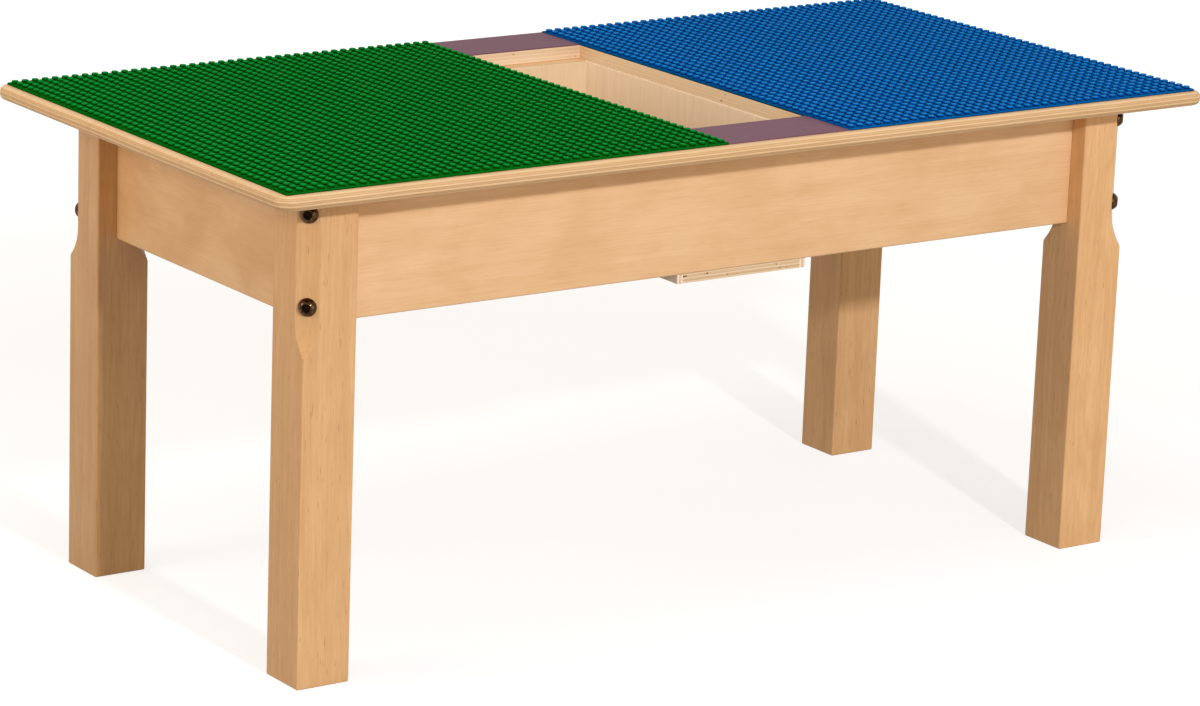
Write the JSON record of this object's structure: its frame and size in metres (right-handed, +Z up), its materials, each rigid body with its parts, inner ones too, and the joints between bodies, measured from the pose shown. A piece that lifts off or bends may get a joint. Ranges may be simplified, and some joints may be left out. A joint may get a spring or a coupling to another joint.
{
  "type": "building block play table",
  "caption": "Low rectangular wooden play table with green and blue stud plates on top and an open bin between them, on bolted square legs.",
  "frame": {"origin": "on the floor below the middle of the tabletop", "axes": "+X along the table from the green plate to the blue plate, -Y to the front, +Z up"},
  "size_m": [0.79, 0.398, 0.3544],
  "materials": {
    "birch_plywood_top": "clear lacquered birch plywood, plies showing along the rounded edge",
    "green_abs": "moulded green plastic with round studs",
    "blue_abs": "moulded blue plastic with round studs",
    "purple_laminate": "smooth matt purple laminate",
    "maple": "clear lacquered maple",
    "birch_block": "plain sanded birch",
    "birch_bin_ply": "clear lacquered thin birch plywood",
    "dark_bronze_steel": "dark bronzed steel, satin",
    "zinc_steel": "zinc plated steel"
  },
  "bodies": {
    "root": {"tabletop": "birch_plywood_top", "green_stud_plate": "green_abs", "blue_stud_plate": "blue_abs", "front_laminate": "purple_laminate", "rear_laminate": "purple_laminate", "front_left_leg": "maple", "front_right_leg": "maple", "rear_left_leg": "maple", "rear_right_leg": "maple", "front_apron": "maple", "rear_apron": "maple", "left_apron": "maple", "right_apron": "maple", "front_left_corner_block": "birch_block", "front_right_corner_block": "birch_block", "rear_left_corner_block": "birch_block", "rear_right_corner_block": "birch_block", "front_left_cleat": "birch_block", "front_right_cleat": "birch_block", "rear_left_cleat": "birch_block", "rear_right_cleat": "birch_block", "left_cleat": "birch_block", "right_cleat": "birch_block", "bin_left_cleat": "birch_block", "bin_right_cleat": "birch_block", "bin_left_wall": "birch_bin_ply", "bin_right_wall": "birch_bin_ply", "bin_front_wall": "birch_bin_ply", "bin_rear_wall": "birch_bin_ply", "bin_floor": "birch_bin_ply", "leg_bolts": "dark_bronze_steel", "leg_washers": "zinc_steel", "leg_nuts": "zinc_steel", "corner_block_screws": "zinc_steel", "cleat_to_apron_screws": "zinc_steel", "cleat_to_top_screws": "zinc_steel", "bin_floor_brads": "zinc_steel"}
  },
  "joints": []
}
